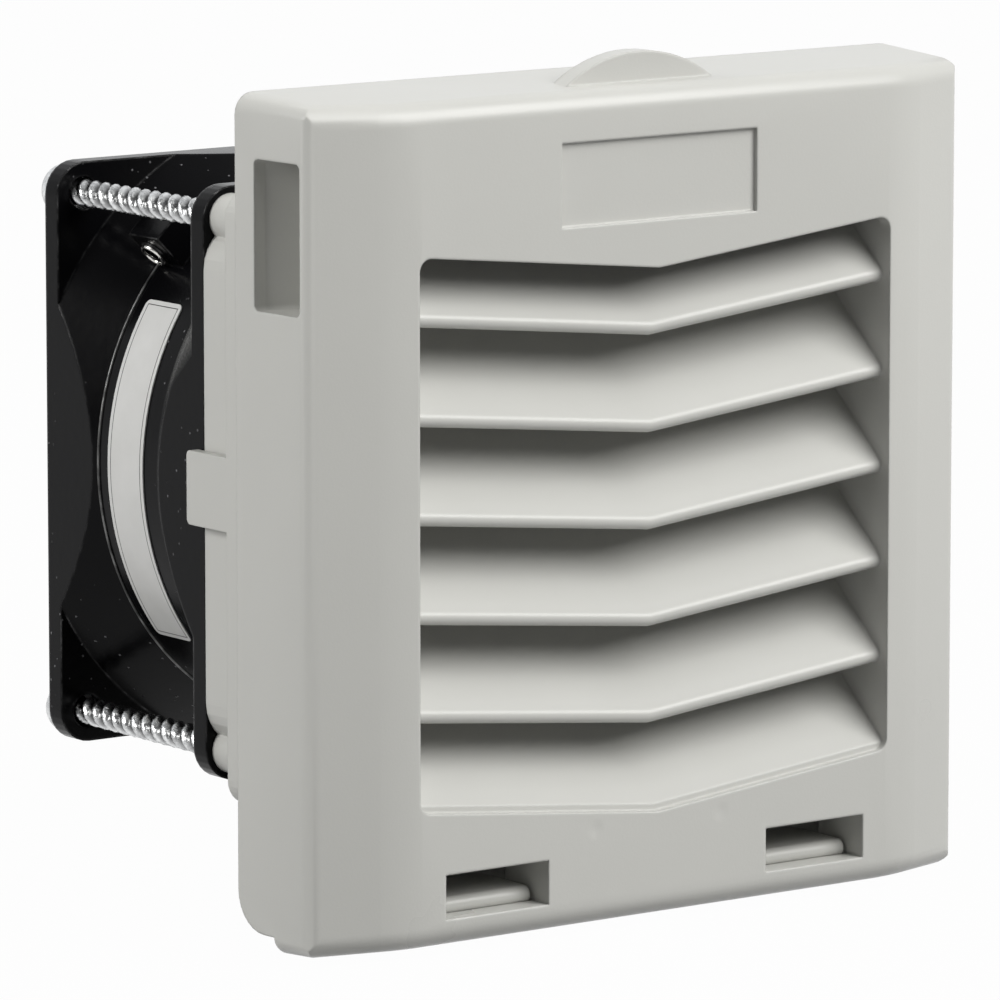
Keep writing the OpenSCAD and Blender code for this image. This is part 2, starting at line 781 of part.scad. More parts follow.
module bearing_tube() {
    color([0.72, 0.62, 0.36]) difference() {
        tube_y(tube_r, 0, tube_front, base_y + 1.6 - e);
        tube_y(bearing_r, 0, tube_front - 1, front_bearing_y + bearing_w);
        tube_y(bearing_r - 0.8, 0, tube_front - 1, base_y + 1);
        tube_y(bearing_r, 0, rear_bearing_y, base_y + 1);
    }
}

module bearing(y) {
    color(steel) tube_y(bearing_r, shaft_r + shaft_clear, y, y + bearing_w);
}

module front_bearing() {
    bearing(front_bearing_y);
}

module rear_bearing() {
    bearing(rear_bearing_y);
}

module stator_core() {
    color([0.45, 0.46, 0.48]) difference() {
        tube_y(core_r, tube_r, core_y, core_y + core_len);
        for (i = [0:3]) rotate([0, 45 + i * 90, 0]) translate([tube_r + 2.2, core_y - 1, -2])
            cube([core_r - tube_r - 3.4, core_len + 2, 4]);
    }
}

module coil_end(y) {
    round_y() translate([tube_r + 1, y]) square([core_r - tube_r - 2.4, coil_out]);
}

module stator_coils() {
    color([0.72, 0.38, 0.18]) {
        coil_end(core_y - coil_out);
        coil_end(core_y + core_len);
    }
}

// One section of a blade at radius r, as points round a curved, tapered plate
function blade_section(r, angle, chord, thick, n = 6) =
    let (top = [for (i = [0:n]) let (t = i / n) [(t - 0.5) * chord,
            0.09 * chord * (1 - pow(2 * t - 1, 2)) + thick / 2 * sqrt(max(0.05, 1 - pow(2 * t - 1, 2)))]],
        low = [for (i = [n:-1:0]) let (t = i / n) [(t - 0.5) * chord,
            0.09 * chord * (1 - pow(2 * t - 1, 2)) - thick / 2 * sqrt(max(0.05, 1 - pow(2 * t - 1, 2)))]])
    [for (p = concat(top, low))
        let (s = p[0] * cos(angle) - p[1] * sin(angle), y = p[0] * sin(angle) + p[1] * cos(angle),
            turn = s / r * 180 / PI)
        [r * sin(turn), y, r * cos(turn)]];

module blade(n = 6, rings = 6) {
    r0 = hub_r - 0.5;
    count = 2 * (n + 1);
    points = [for (k = [0:rings]) let (t = k / rings)
        each blade_section(r0 + t * (tip_r - r0), blade_root_angle + t * (blade_tip_angle - blade_root_angle),
            blade_chord * (0.86 + 0.14 * t), blade_t * (1 - 0.35 * t), n)];
    walls = [for (k = [0:rings - 1], i = [0:count - 1])
        let (a = k * count + i, b = k * count + (i + 1) % count)
        each [[a, b, a + count], [b, b + count, a + count]]];
    caps = [for (i = [0:n - 1]) let (a = i, b = count - 1 - i, top = rings * count)
        each [[a, b, a + 1], [a + 1, b, b - 1], [top + a, top + a + 1, top + b],
            [top + a + 1, top + b - 1, top + b]]];
    polyhedron(points = points, faces = concat(walls, caps), convexity = 4);
}

module impeller() {
    mid = (cup_front + cup_rear) / 2;
    color([0.13, 0.13, 0.14]) {
        tube_y(hub_r, cup_r, cup_front, cup_rear);
        for (i = [0:blade_count - 1]) rotate([0, i * 360 / blade_count, 0]) translate([0, mid, 0]) blade();
    }
}

module rotor_cup() {
    color(steel) difference() {
        union() {
            tube_y(cup_r, cup_in, cup_front, cup_rear);
            tube_y(cup_in + e, 0, cup_front, cup_front + cup_floor);
            tube_y(3.4, 0, cup_front, boss_end);
        }
        tube_y(shaft_r, 0, cup_front + 0.8, boss_end + 1);
    }
}

module cage_ring() {
    color([0.55, 0.56, 0.58]) tube_y(cup_in, cage_in, core_y - 1, core_y + core_len + 1);
}

module shaft() {
    groove = shaft_r - 0.4;
    color(steel) difference() {
        tube_y(shaft_r, 0, cup_front + 0.8, shaft_end);
        tube_y(shaft_r + 1, groove, clip_y, clip_y + clip_t);
    }
}

module thrust_washer() {
    color([0.88, 0.86, 0.78]) tube_y(3.2, shaft_r, boss_end, boss_end + clip_t);
}

module retaining_clip() {
    color(steel) difference() {
        tube_y(shaft_r + 1.5, shaft_r - 0.4, clip_y, clip_y + clip_t);
        translate([-shaft_r * 0.6, clip_y - 1, 0]) cube([shaft_r * 1.2, clip_t + 2, bearing_r]);
    }
}

louvre_cover();
base_frame();
panel_gasket();
filter_mat();
filter_grille();
fan_frame();
fan_screws();
rating_strip();
terminal_block();
terminal_tabs();
bearing_tube();
front_bearing();
rear_bearing();
stator_core();
stator_coils();
impeller();
rotor_cup();
cage_ring();
shaft();
thrust_washer();
retaining_clip();
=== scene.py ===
import math
import bmesh
import bpy
from mathutils import Matrix, Vector


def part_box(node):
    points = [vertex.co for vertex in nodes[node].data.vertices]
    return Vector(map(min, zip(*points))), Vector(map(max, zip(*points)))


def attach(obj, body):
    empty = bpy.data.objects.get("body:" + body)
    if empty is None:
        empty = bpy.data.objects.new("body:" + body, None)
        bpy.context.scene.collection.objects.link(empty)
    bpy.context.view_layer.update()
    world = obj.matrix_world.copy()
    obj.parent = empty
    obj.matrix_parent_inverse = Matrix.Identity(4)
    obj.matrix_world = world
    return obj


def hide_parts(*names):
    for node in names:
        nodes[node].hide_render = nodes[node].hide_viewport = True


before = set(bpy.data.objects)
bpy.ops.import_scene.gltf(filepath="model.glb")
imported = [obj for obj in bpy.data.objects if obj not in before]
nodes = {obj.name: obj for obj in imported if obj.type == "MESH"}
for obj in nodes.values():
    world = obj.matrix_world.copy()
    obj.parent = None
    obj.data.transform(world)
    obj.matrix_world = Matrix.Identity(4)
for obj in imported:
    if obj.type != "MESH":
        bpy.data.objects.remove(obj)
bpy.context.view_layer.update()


# The studio: the part is photographed from its front left with a long lens, a little from above.
# One soft box stands at its left, one at its right front and one hangs overhead. The white floor
# fills the whole view and keeps the part's soft shadow.
def set_down(name, data):
    made = bpy.data.objects.new(name, data)
    bpy.context.collection.objects.link(made)
    return made


aim = Vector((0.002816, 0.020, -0.004691))
azimuth, elevation, distance = math.radians(36.451), math.radians(8.911), 1.109
sensor_width, focal_widths = 36, 8.205
toward_camera = Vector((
    -math.sin(azimuth) * math.cos(elevation),
    -math.cos(azimuth) * math.cos(elevation),
    math.sin(elevation)))
lens = bpy.data.cameras.new("camera")
lens.sensor_width = sensor_width
lens.lens = focal_widths * sensor_width
lens.clip_end = 20
camera = set_down("camera", lens)
camera.location = aim + toward_camera * distance
camera.rotation_euler = toward_camera.to_track_quat("Z", "Y").to_euler()
bpy.context.scene.camera = camera
bpy.context.scene.view_settings.view_transform = "Standard"


def soft_box(name, spot, width, height, watts):
    lamp = bpy.data.lights.new(name, "AREA")
    lamp.shape = "RECTANGLE"
    lamp.size, lamp.size_y = width, height
    lamp.energy = watts
    lamp.color = (1.0, 0.995, 0.98)
    stand = set_down(name, lamp)
    stand.location = spot
    stand.rotation_euler = Vector(spot).to_track_quat("Z", "Y").to_euler()


soft_box("left_box", (-1.10, 0.30, 0.55), width=0.5, height=0.7, watts=11.2)
soft_box("right_box", (0.53, -0.94, 0.86), width=1.0, height=0.9, watts=20.5)
soft_box("overhead_box", (0.00, -0.45, 1.15), width=0.9, height=0.6, watts=3.5)


def put(tree, kind, values=None, **settings):
    made = tree.nodes.new(kind)
    for key, value in settings.items():
        setattr(made, key, value)
    for key, value in (values or {}).items():
        if isinstance(value, bpy.types.NodeSocket):
            tree.links.new(value, made.inputs[key])
        else:
            made.inputs[key].default_value = value
    return made.outputs


def sums(tree, operation, *terms):
    return put(tree, "ShaderNodeMath", dict(enumerate(terms)), operation=operation)[0]


# The room is dim. Only the camera sees it white, and a sheen sees it brighter toward the back right
back_right = (0.59, 0.80, 0)
room_dim, room_rise = 0.06, 0.94
sky = bpy.data.worlds.new("studio_fill")
sky.use_nodes = True
room = sky.node_tree
fill = room.nodes["Background"].inputs
fill["Color"].default_value = (0.98, 0.99, 1.0, 1)
toward = put(room, "ShaderNodeVectorMath", {
    0: put(room, "ShaderNodeTexCoord")["Generated"], 1: back_right}, operation="DOT_PRODUCT")["Value"]
fade = put(room, "ShaderNodeMapRange", {
    "Value": toward, "From Min": -0.3, "From Max": 0.5, "To Min": 0.15})[0]
ray = put(room, "ShaderNodeLightPath")
seen = sums(room, "MAXIMUM", ray["Is Camera Ray"], sums(room, "MULTIPLY", fade, ray["Is Glossy Ray"]))
room.links.new(sums(room, "MULTIPLY_ADD", seen, room_rise, room_dim), fill["Strength"])
bpy.context.scene.world = sky


def plain_material(name):
    made = bpy.data.materials.new(name)
    made.use_nodes = True
    return made, made.node_tree, made.node_tree.nodes["Principled BSDF"].inputs


floor_z, floor_reach = -0.0562, 5
paper_white = 0.98
floor_mesh = bpy.data.meshes.new("floor")
floor_mesh.from_pydata(
    [(x * floor_reach, y * floor_reach, floor_z) for x, y in ((-1, -1), (1, -1), (1, 1), (-1, 1))],
    [], [(0, 1, 2, 3)])
floor = set_down("floor", floor_mesh)
white_paper, paper, sheet = plain_material("white_paper")
sheet["Base Color"].default_value = (0.22, 0.22, 0.22, 1)
sheet["Roughness"].default_value = 0.9
ray = put(paper, "ShaderNodeLightPath")
seen = sums(paper, "MAXIMUM", ray["Is Camera Ray"], ray["Is Glossy Ray"])
lit = put(paper, "ShaderNodeMixShader", {
    "Fac": sums(paper, "MULTIPLY", seen, paper_white),
    1: paper.nodes["Principled BSDF"].outputs[0], 2: put(paper, "ShaderNodeEmission")[0]})[0]
paper.links.new(lit, paper.nodes["Material Output"].inputs["Surface"])
floor_mesh.materials.append(white_paper)


# The louvre cover: one injection moulding in light grey plastic with a fine satin skin.
# It hangs on two tongues of the base frame and tilts forward about their beads.
# Its edges are painted lighter, partly as rubbing from handling and partly as painted highlight, and thick
# ribs behind it have drawn faint sink marks.
def effect(name, inputs, outputs):
    tree = bpy.data.node_groups.new(name, "ShaderNodeTree")
    for label, kind, value in inputs:
        tree.interface.new_socket(
            name=label, in_out="INPUT", socket_type="NodeSocket" + kind).default_value = value
    for label, kind in outputs:
        tree.interface.new_socket(name=label, in_out="OUTPUT", socket_type="NodeSocket" + kind)
    return tree, tree.nodes.new("NodeGroupInput").outputs, tree.nodes.new("NodeGroupOutput").inputs


def blend(tree, share, under, over):
    return put(tree, "ShaderNodeMix", {"Factor": share, "A": under, "B": over}, data_type="RGBA")["Result"]


# Moulded grain: a broad drift of tone, and the height of a fine speckle
moulded_grain, given, result = effect(
    "moulded_grain",
    [("Tone", "Color", (0.5, 0.5, 0.5, 1)), ("Drift", "Float", 0.06),
     ("Grain Size", "Float", 0.0004), ("Roughness", "Float", 0.45)],
    [("Colour", "Color"), ("Roughness", "Float"), ("Height", "Float")])
place = put(moulded_grain, "ShaderNodeTexCoord")["Object"]
broad = put(moulded_grain, "ShaderNodeTexNoise", {"Vector": place, "Scale": 40, "Detail": 4})[0]
fine = put(moulded_grain, "ShaderNodeTexNoise", {
    "Vector": place, "Scale": sums(moulded_grain, "DIVIDE", 1.0, given["Grain Size"]), "Detail": 2})[0]
drift = sums(moulded_grain, "SUBTRACT", broad, 0.5)
tone = put(moulded_grain, "ShaderNodeVectorMath", {
    0: given["Tone"], "Scale": sums(moulded_grain, "MULTIPLY_ADD", drift, given["Drift"], 1.0)},
    operation="SCALE")[0]
moulded_grain.links.new(tone, result["Colour"])
moulded_grain.links.new(
    sums(moulded_grain, "MULTIPLY_ADD", drift, 0.2, given["Roughness"]), result["Roughness"])
moulded_grain.links.new(fine, result["Height"])

# Rubbed edges and painted edge highlight: where a rounded normal leaves its face, broken up by a patchy
# noise
edge_wear_and_highlight, given, result = effect(
    "edge_wear_and_highlight", [("Round", "Vector", (0, 0, 1)), ("Patches", "Float", 900.0)], [("Edge", "Float")])
face = put(edge_wear_and_highlight, "ShaderNodeNewGeometry")["True Normal"]
bend = put(edge_wear_and_highlight, "ShaderNodeVectorMath", {0: given["Round"], 1: face}, operation="DOT_PRODUCT")
patch = put(edge_wear_and_highlight, "ShaderNodeTexNoise", {
    "Vector": put(edge_wear_and_highlight, "ShaderNodeTexCoord")["Object"], "Scale": given["Patches"]})[0]
band = put(edge_wear_and_highlight, "ShaderNodeMapRange", {
    "Value": bend["Value"], "From Min": 0.995, "From Max": 0.80})[0]
spots = put(edge_wear_and_highlight, "ShaderNodeMapRange", {"Value": patch, "From Min": 0.42, "From Max": 0.66})[0]
edge_wear_and_highlight.links.new(sums(edge_wear_and_highlight, "MULTIPLY", band, spots), result["Edge"])


def moulded_plastic(name, tone, roughness, grain_size, edge_radius, rubbed_highlight_tone, dimples=(), fold=0.0):
    made, tree, skin = plain_material(name)
    skin["IOR"].default_value = 1.5
    grain = put(tree, "ShaderNodeGroup", {
        "Tone": (*tone, 1), "Roughness": roughness, "Grain Size": grain_size}, node_tree=moulded_grain)
    rounded = put(tree, "ShaderNodeBevel", {"Radius": edge_radius}, samples=6)[0]
    rub_and_highlight = put(tree, "ShaderNodeGroup", {"Round": rounded}, node_tree=edge_wear_and_highlight)["Edge"]
    # convex edges are painted lighter: partly rubbing, partly painted highlight
    tint_with_highlight = blend(tree, sums(tree, "MULTIPLY", rub_and_highlight, 0.5), grain["Colour"], (*rubbed_highlight_tone, 1))
    tree.links.new(tint_with_highlight, skin["Base Color"])
    tree.links.new(grain["Roughness"], skin["Roughness"])
    if fold:
        # the louvres fold softly where they dip, so their normals don't lean near the middle
        spot = put(tree, "ShaderNodeSeparateXYZ", {0: put(tree, "ShaderNodeTexCoord")["Object"]})
        away = put(tree, "ShaderNodeMapRange", {
            "Value": sums(tree, "ABSOLUTE", spot[0]), "From Max": fold}, interpolation_type="SMOOTHSTEP")[0]
        leaning = put(tree, "ShaderNodeSeparateXYZ", {0: rounded})
        rounded = put(tree, "ShaderNodeVectorMath", {0: put(tree, "ShaderNodeCombineXYZ", {
            0: sums(tree, "MULTIPLY", leaning[0], away), 1: leaning[1], 2: leaning[2]})[0]},
            operation="NORMALIZE")[0]
    normal = put(tree, "ShaderNodeBump", {
        "Strength": 0.3, "Distance": 0.00004, "Height": grain["Height"], "Normal": rounded})[0]
    for centre, size, depth in dimples:
        away = put(tree, "ShaderNodeVectorMath", {
            0: put(tree, "ShaderNodeTexCoord")["Object"], 1: centre}, operation="DISTANCE")["Value"]
        bowl = put(tree, "ShaderNodeMapRange", {
            "Value": away, "From Max": size}, interpolation_type="SMOOTHSTEP")[0]
        normal = put(tree, "ShaderNodeBump", {"Distance": depth, "Height": bowl, "Normal": normal})[0]
    tree.links.new(normal, skin["Normal"])
    return made


dimple_out, dimple_front, dimple_z = 0.0104, -0.019, -0.0423
dimple_size, dimple_depth = 0.0016, 0.00008
cover_plastic = moulded_plastic(
    "cover_plastic", tone=(0.55, 0.55, 0.525), roughness=0.32, grain_size=0.00035,
    edge_radius=0.0005, rubbed_highlight_tone=(0.66, 0.66, 0.63), fold=0.006,
    dimples=[((side * dimple_out, dimple_front, dimple_z), dimple_size, dimple_depth) for side in (-1, 1)])


# The deep finger pockets in the cover's sides are cut in a merged copy of it. Their rear walls slope
# forward, to clear the base's flange, so that only the rear wall and the sill show from the front.
# A station is a distance from the middle, and where the pocket's rear is there.
def piece_of(name, shape):
    mesh = bpy.data.meshes.new(name)
    shape.to_mesh(mesh)
    shape.free()
    return set_down(name, mesh)


pocket_low, pocket_high, pocket_front, pocket_corner = 0.0282, 0.0478, -0.0135, 0.0008
pocket_wall, pocket_ease = 0.0009, 0.00002
corner_steps = 5
merge_within = 0.000002


def pocket_solids(name, inset, stations):
    shape = bmesh.new()
    low, high = pocket_low + inset, pocket_high - inset
    front, corner = pocket_front + inset, pocket_corner - inset
    for side in (-1, 1):
        rings = []
        for out, rear in stations:
            ring = []
            for across, up, start in ((rear, high, 0), (front, high, 1), (front, low, 2), (rear, low, 3)):
                middle_y = across + (corner if across == front else -corner)
                middle_z = up + (corner if up == low else -corner)
                for step in range(corner_steps + 1):
                    turn = (start + step / corner_steps) * math.pi / 2
                    ring.append(shape.verts.new((
                        side * out,
                        middle_y + corner * math.cos(turn),
                        middle_z + corner * math.sin(turn))))
            rings.append(ring)
        for ring, after in zip(rings, rings[1:]):
            for spot in range(len(ring)):
                beside = (spot + 1) % len(ring)
                shape.faces.new((ring[spot], ring[beside], after[beside], after[spot]))
        shape.faces.new(rings[0])
        shape.faces.new(rings[-1])
    bmesh.ops.recalc_face_normals(shape, faces=shape.faces[:])
    return piece_of(name, shape)


pocket_walls = pocket_solids("pocket_walls", -pocket_wall, ((0.0518, -0.0034), (0.0470, -0.0056)))
pocket_room = pocket_solids("pocket_room", pocket_ease, (
    (0.0530, -0.00432), (0.0524, -0.00432), (0.0480, -0.0063)))
shape = bmesh.new()
shape.from_mesh(nodes["louvre_cover"].data)
bmesh.ops.remove_doubles(shape, verts=shape.verts[:], dist=merge_within)
shell = piece_of("shell", shape)
if "custom_normal" in shell.data.attributes:
    shell.data.attributes.remove(shell.data.attributes["custom_normal"])
for other, way in ((pocket_walls, "UNION"), (pocket_room, "DIFFERENCE")):
    change = shell.modifiers.new(other.name, "BOOLEAN")
    change.operation, change.solver, change.object = way, "EXACT", other
cover_mesh = bpy.data.meshes.new_from_object(shell.evaluated_get(bpy.context.evaluated_depsgraph_get()))
for spare in (shell, pocket_walls, pocket_room):
    bpy.data.objects.remove(spare)
cover_mesh.name = "pocketed_cover"
cover_mesh.materials.clear()
cover_mesh.materials.append(cover_plastic)
for face in cover_mesh.polygons:
    face.material_index = 0
cover_mesh.set_sharp_from_angle(angle=math.radians(30))
pocketed_cover = set_down("pocketed_cover", cover_mesh)
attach(pocketed_cover, "cover")
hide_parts("louvre_cover")


# The base frame: a moulding in the same plastic, with the duct that carries the fan.
# The grille that backs the filter mat is a separate moulding, pushed into the base's tray.
def dress(node, material):
    nodes[node].data.materials.clear()
    nodes[node].data.materials.append(material)


base_plastic = moulded_plastic(
    "base_plastic", tone=(0.55, 0.55, 0.525), roughness=0.38, grain_size=0.0004,
    edge_radius=0.0003, rubbed_highlight_tone=(0.64, 0.64, 0.61))
dress("base_frame", base_plastic)
dress("filter_grille", base_plastic)


# The panel gasket: a strip of dark closed-cell foam, stuck to the back of the base's flange.
# Cut cells give it an open, pitted skin.
def ramp(tree, factor, dark, light, low=0.0, high=1.0):
    shade = put(tree, "ShaderNodeValToRGB", {"Fac": factor})["Color"]
    ends = shade.node.color_ramp.elements
    ends[0].color, ends[0].position = (*dark, 1), low
    ends[1].color, ends[1].position = (*light, 1), high
    return shade


foam, tree, skin = plain_material("gasket_foam")
skin["Roughness"].default_value = 0.95
place = put(tree, "ShaderNodeTexCoord")["Object"]
cells = put(tree, "ShaderNodeTexVoronoi", {"Vector": place, "Scale": 1600})["Distance"]
# the pits of the cut cells are painted darker, as shade
tree.links.new(ramp(tree, cells, (0.006, 0.006, 0.007), (0.035, 0.035, 0.038)), skin["Base Color"])
tree.links.new(put(tree, "ShaderNodeBump", {
    "Strength": 0.8, "Distance": 0.0002, "Height": cells})[0], skin["Normal"])
dress("panel_gasket", foam)

# The filter mat: a lofted pad of white polyester fibres, bonded at random into a springy sheet.
# It lies loose in the base's tray between the grille and the cover, and swells a little there.
mat_low, mat_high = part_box("filter_mat")
mat_mid = (mat_low + mat_high) / 2
mat_slack = Vector((0.0022, 0.0024, 0.0022))
mat_start = mat_high - mat_low - mat_slack
mat_round, mat_voxel, mat_swell = 0.0016, 0.0016, 0.0009
swell_steps = 20
shape = bmesh.new()
bmesh.ops.create_cube(shape, size=1, matrix=Matrix.Translation(mat_mid) @ Matrix.Diagonal((*mat_start, 1)))
bmesh.ops.bevel(shape, geom=shape.edges[:], offset=mat_round, segments=2, affect="EDGES")
filter_pad = piece_of("filter_pad", shape)


def settle(piece):
    graph = bpy.context.evaluated_depsgraph_get()
    mesh = bpy.data.meshes.new_from_object(piece.evaluated_get(graph))
    piece.modifiers.clear()
    piece.data = mesh


remesh = filter_pad.modifiers.new("remesh", "REMESH")
remesh.mode = "VOXEL"
remesh.voxel_size = mat_voxel
settle(filter_pad)
start = [point.co.copy() for point in filter_pad.data.vertices]
cloth = filter_pad.modifiers.new("swell", "CLOTH")
cloth.settings.mass = 0.00002
cloth.settings.tension_stiffness = 5
cloth.settings.compression_stiffness = 5
cloth.settings.shear_stiffness = 2
cloth.settings.bending_stiffness = 0.05
cloth.settings.use_pressure = True
cloth.settings.uniform_pressure_force = 4
cloth.settings.effector_weights.gravity = 0
cloth.point_cache.frame_end = swell_steps
for step in range(1, swell_steps + 1):
    bpy.context.scene.frame_set(step)
settle(filter_pad)
bpy.context.scene.frame_set(1)
for point, was in zip(filter_pad.data.vertices, start):
    moved = point.co - was
    moved.length = min(moved.length, mat_swell)
    point.co = was + moved
for face in filter_pad.data.polygons:
    face.use_smooth = True


def geometry_tree(name, sizes, makes, takes=()):
    tree = bpy.data.node_groups.new(name, "GeometryNodeTree")
    for label in takes:
        tree.interface.new_socket(name=label, in_out="INPUT", socket_type="NodeSocketGeometry")
    for label, value in sizes.items():
        kind = "NodeSocketInt" if isinstance(value, int) else "NodeSocketFloat"
        tree.interface.new_socket(name=label, in_out="INPUT", socket_type=kind).default_value = value
    tree.interface.new_socket(name=makes, in_out="OUTPUT", socket_type="NodeSocketGeometry")
    return tree, tree.nodes.new("NodeGroupInput").outputs, tree.nodes.new("NodeGroupOutput").inputs


def grow_on(piece, tree, sizes):
    shaper = piece.modifiers.new("shape", "NODES")
    shaper.node_group = tree
    for item in tree.interface.items_tree:
        if item.in_out == "INPUT" and item.name in sizes:
            shaper[item.identifier] = sizes[item.name]
    settle(piece)
    return piece


def grow(name, tree, sizes):
    return grow_on(set_down(name, bpy.data.meshes.new(name)), tree, sizes)


fibre, tree, skin = plain_material("polyester_fibre")
skin["Roughness"].default_value = 0.6
skin["Sheen Weight"].default_value = 0.3
place = put(tree, "ShaderNodeTexCoord")["Object"]
strands = put(tree, "ShaderNodeTexNoise", {
    "Vector": place, "Scale": 1100, "Detail": 5, "Distortion": 2.5})[0]
# the hollows between strands are painted grey as shade, and the mat is kept below white, painted shade for
# the gaps behind the louvres
tree.links.new(
    ramp(tree, strands, (0.22, 0.215, 0.20), (0.72, 0.715, 0.68), 0.3, 0.62), skin["Base Color"])
tree.links.new(put(tree, "ShaderNodeBump", {
    "Strength": 0.9, "Distance": 0.0004, "Height": strands})[0], skin["Normal"])

loose_fibres, given, result = geometry_tree(
    "loose_fibres",
    {"Fibres per Square Metre": 200000.0, "Fibre Length": 0.004, "Fibre Radius": 0.00005}, "Mat", ["Pad"])
points = put(loose_fibres, "GeometryNodeDistributePointsOnFaces", {
    "Mesh": given["Pad"], "Density": given["Fibres per Square Metre"], "Seed": 7})
arc = put(loose_fibres, "GeometryNodeCurveQuadraticBezier", {
    "Resolution": 4, "Start": (-0.5, 0, 0), "Middle": (0.1, 0.35, 0.12), "End": (0.5, -0.1, 0)})[0]
arc = put(loose_fibres, "GeometryNodeTransform", {
    "Geometry": arc, "Scale": put(loose_fibres, "ShaderNodeCombineXYZ", {
        axis: given["Fibre Length"] for axis in range(3)})[0]})[0]
ring = put(loose_fibres, "GeometryNodeCurvePrimitiveCircle", {
    "Resolution": 3, "Radius": given["Fibre Radius"]})[0]
strand = put(loose_fibres, "GeometryNodeCurveToMesh", {"Curve": arc, "Profile Curve": ring})[0]
turn = put(loose_fibres, "FunctionNodeRandomValue", {
    "Min": (-0.25, -0.25, 0), "Max": (0.25, 0.25, 6.283), "Seed": 3}, data_type="FLOAT_VECTOR")[0]
aligned = put(loose_fibres, "FunctionNodeRotateEuler", {
    "Rotation": points["Rotation"], "Rotate By": turn}, space="LOCAL")[0]
spread = put(loose_fibres, "FunctionNodeRandomValue", {
    "Min": (0.6, 0.6, 0.6), "Max": (1.3, 1.3, 1.3), "Seed": 5}, data_type="FLOAT_VECTOR")[0]
scattered = put(loose_fibres, "GeometryNodeInstanceOnPoints", {
    "Points": points["Points"], "Instance": strand, "Rotation": aligned, "Scale": spread})[0]
scattered = put(loose_fibres, "GeometryNodeRealizeInstances", {"Geometry": scattered})[0]
both = put(loose_fibres, "GeometryNodeJoinGeometry")[0]
loose_fibres.links.new(given["Pad"], both.node.inputs[0])
loose_fibres.links.new(scattered, both.node.inputs[0])
loose_fibres.links.new(put(loose_fibres, "GeometryNodeSetMaterial", {
    "Geometry": both, "Material": fibre})[0], result["Mat"])
grow_on(filter_pad, loose_fibres, {"Fibres per Square Metre": 160000.0, "Fibre Length": 0.005})
for point in filter_pad.data.vertices:
    for axis in range(3):
        point.co[axis] = min(max(point.co[axis], mat_low[axis]), mat_high[axis])
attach(filter_pad, "housing")
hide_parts("filter_mat")


# The fan's frame: die-cast metal under a semi-gloss black paint.
# The paint has a fine orange peel, and small specks of dust have dried in it.
def apart(tree, across, up):
    return sums(tree, "SQRT", sums(tree, "MULTIPLY_ADD", across, across, sums(tree, "MULTIPLY", up, up)))


black_paint, tree, skin = plain_material("black_paint")
skin["IOR"].default_value = 1.5
skin["Specular IOR Level"].default_value = 0.08
place = put(tree, "ShaderNodeTexCoord")["Object"]
peel = put(tree, "ShaderNodeTexNoise", {"Vector": place, "Scale": 700, "Detail": 3})[0]
speck = put(tree, "ShaderNodeTexVoronoi", {"Vector": place, "Scale": 620})["Distance"]
specks = put(tree, "ShaderNodeMapRange", {"Value": speck, "From Min": 0.13, "From Max": 0.05})[0]
cast = put(tree, "ShaderNodeTexNoise", {"Vector": place, "Scale": 60, "Detail": 4})[0]
some = put(tree, "ShaderNodeMapRange", {"Value": cast, "From Min": 0.5, "From Max": 0.6})[0]
specks = sums(tree, "MULTIPLY", specks, some)
rounded = put(tree, "ShaderNodeBevel", {"Radius": 0.0005}, samples=6)[0]
peeled = put(tree, "ShaderNodeBump", {
    "Strength": 0.16, "Distance": 0.0001, "Height": peel, "Normal": rounded})[0]
tree.links.new(put(tree, "ShaderNodeBump", {
    "Strength": 0.8, "Distance": 0.0001, "Height": specks, "Normal": peeled})[0], skin["Normal"])
tree.links.new(put(tree, "ShaderNodeMapRange", {
    "Value": cast, "To Min": 0.16, "To Max": 0.30})[0], skin["Roughness"])
# a painted reflection: a grey sheen high on the front flare's left, down to a slanting edge
flare_out, flare_mid, flare_half, flare_slant = 0.03958, 0.0353, 0.0044, 0.94
parts = put(tree, "ShaderNodeSeparateXYZ", {0: place})
slant = sums(tree, "MULTIPLY_ADD", parts[1], flare_slant, parts[2])
sheen_patch = sums(tree, "GREATER_THAN", apart(tree, parts[0], parts[2]), flare_out)
for limit in (sums(tree, "COMPARE", parts[1], flare_mid, flare_half),
              sums(tree, "LESS_THAN", parts[0], 0.0),
              put(tree, "ShaderNodeMapRange", {"Value": parts[2], "From Min": 0.027, "From Max": 0.020})[0],
              put(tree, "ShaderNodeMapRange", {"Value": slant, "From Min": 0.0462, "From Max": 0.0490})[0]):
    sheen_patch = sums(tree, "MULTIPLY", sheen_patch, limit)
cloud = put(tree, "ShaderNodeTexNoise", {"Vector": place, "Scale": 2600, "Detail": 3})[0]
sheen_tone = ramp(tree, cloud, (0.05, 0.05, 0.05), (0.15, 0.15, 0.147), 0.3, 0.75)
black_with_sheen = blend(tree, sheen_patch, (0.0025, 0.0025, 0.003, 1), sheen_tone)
dusty = blend(tree, specks, black_with_sheen, (0.20, 0.20, 0.21, 1))
# rubbed edges glint, where the paint is worn down to the metal
worn = put(tree, "ShaderNodeGroup", {"Round": rounded, "Patches": 500.0}, node_tree=edge_wear_and_highlight)["Edge"]
tree.links.new(worn, skin["Metallic"])
tree.links.new(blend(tree, worn, dusty, (0.085, 0.085, 0.086, 1)), skin["Base Color"])
dress("fan_frame", black_paint)

